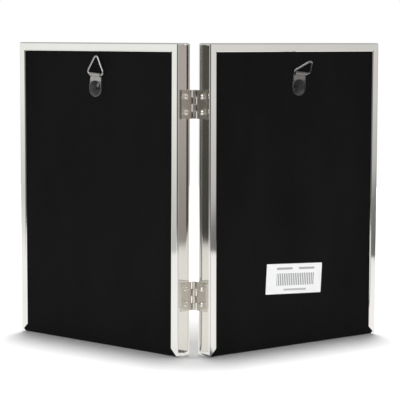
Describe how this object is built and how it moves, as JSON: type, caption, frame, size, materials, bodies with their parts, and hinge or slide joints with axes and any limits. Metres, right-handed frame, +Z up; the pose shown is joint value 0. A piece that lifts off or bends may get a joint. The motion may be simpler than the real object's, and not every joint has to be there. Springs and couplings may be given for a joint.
{
  "type": "hinged double photo frame",
  "caption": "Freestanding folding photo frame: two polished metal portrait panels joined by butt hinges, with glass, velvet backs that slide out and triangle ring hangers.",
  "frame": {"origin": "on the floor, under the middle of the V that the two panels make", "axes": "+Z up, +Y towards the open side of the V that the picture faces look to, +X from the left panel to the right panel as seen from the back"},
  "size_m": [0.227, 0.0936, 0.1862],
  "materials": {
    "polished_silver": "polished silver plate",
    "hinge_nickel": "bright nickel plate",
    "screw_nickel": "bright nickel plate",
    "pane_glass": "clear float glass",
    "print_paper": "matt plain insert",
    "filler_board": "corrugated card",
    "hardboard": "smooth hardboard",
    "black_velvet": "short black velvet pile",
    "hanger_nickel": "dull nickel plate",
    "ring_wire": "bright drawn wire",
    "dark_rivet": "satin black",
    "label_paper": "semi-gloss label paper"
  },
  "bodies": {
    "left_frame": {"left_hinge_rail": "polished_silver", "left_top_rail": "polished_silver", "left_outer_rail": "polished_silver", "left_bottom_rail": "polished_silver", "left_glass": "pane_glass", "left_print": "print_paper", "left_filler_card": "filler_board", "upper_hinge_left_leaf": "hinge_nickel", "upper_hinge_left_screws": "screw_nickel", "lower_hinge_left_leaf": "hinge_nickel", "lower_hinge_left_screws": "screw_nickel", "upper_hinge_pin": "hinge_nickel", "lower_hinge_pin": "hinge_nickel"},
    "left_back": {"left_back_board": "hardboard", "left_velvet_cover": "black_velvet", "left_hanger_strap": "hanger_nickel", "left_hanger_rivet": "dark_rivet"},
    "left_ring": {"left_hanger_ring": "ring_wire"},
    "right_frame": {"right_hinge_rail": "polished_silver", "right_top_rail": "polished_silver", "right_outer_rail": "polished_silver", "right_bottom_rail": "polished_silver", "right_glass": "pane_glass", "right_print": "print_paper", "right_filler_card": "filler_board", "upper_hinge_right_leaf": "hinge_nickel", "upper_hinge_right_screws": "screw_nickel", "lower_hinge_right_leaf": "hinge_nickel", "lower_hinge_right_screws": "screw_nickel"},
    "right_back": {"right_back_board": "hardboard", "right_velvet_cover": "black_velvet", "right_hanger_strap": "hanger_nickel", "right_hanger_rivet": "dark_rivet", "right_label": "label_paper"},
    "right_ring": {"right_hanger_ring": "ring_wire"}
  },
  "joints": [
    {"name": "fold", "type": "hinge", "parent": "left_frame", "child": "right_frame", "pos_m": [0, -0.03775, 0.0931], "axis": [0, 0, 1], "range_deg": [-66, 101.4]},
    {"name": "left_back_slide", "type": "slide", "parent": "left_frame", "child": "left_back", "axis": [0, 0, -1], "range_m": [0, 0.165]},
    {"name": "left_ring_swing", "type": "hinge", "parent": "left_back", "child": "left_ring", "pos_m": [-0.06156, -0.00441, 0.16678], "axis": [0.772, -0.6318, -0.0698], "range_deg": [0, 160]},
    {"name": "right_back_slide", "type": "slide", "parent": "right_frame", "child": "right_back", "axis": [0, 0, -1], "range_m": [0, 0.165]},
    {"name": "right_ring_swing", "type": "hinge", "parent": "right_back", "child": "right_ring", "pos_m": [0.06343, -0.00288, 0.16787], "axis": [0.7709, 0.631, -0.0872], "range_deg": [-50, 110]}
  ]
}
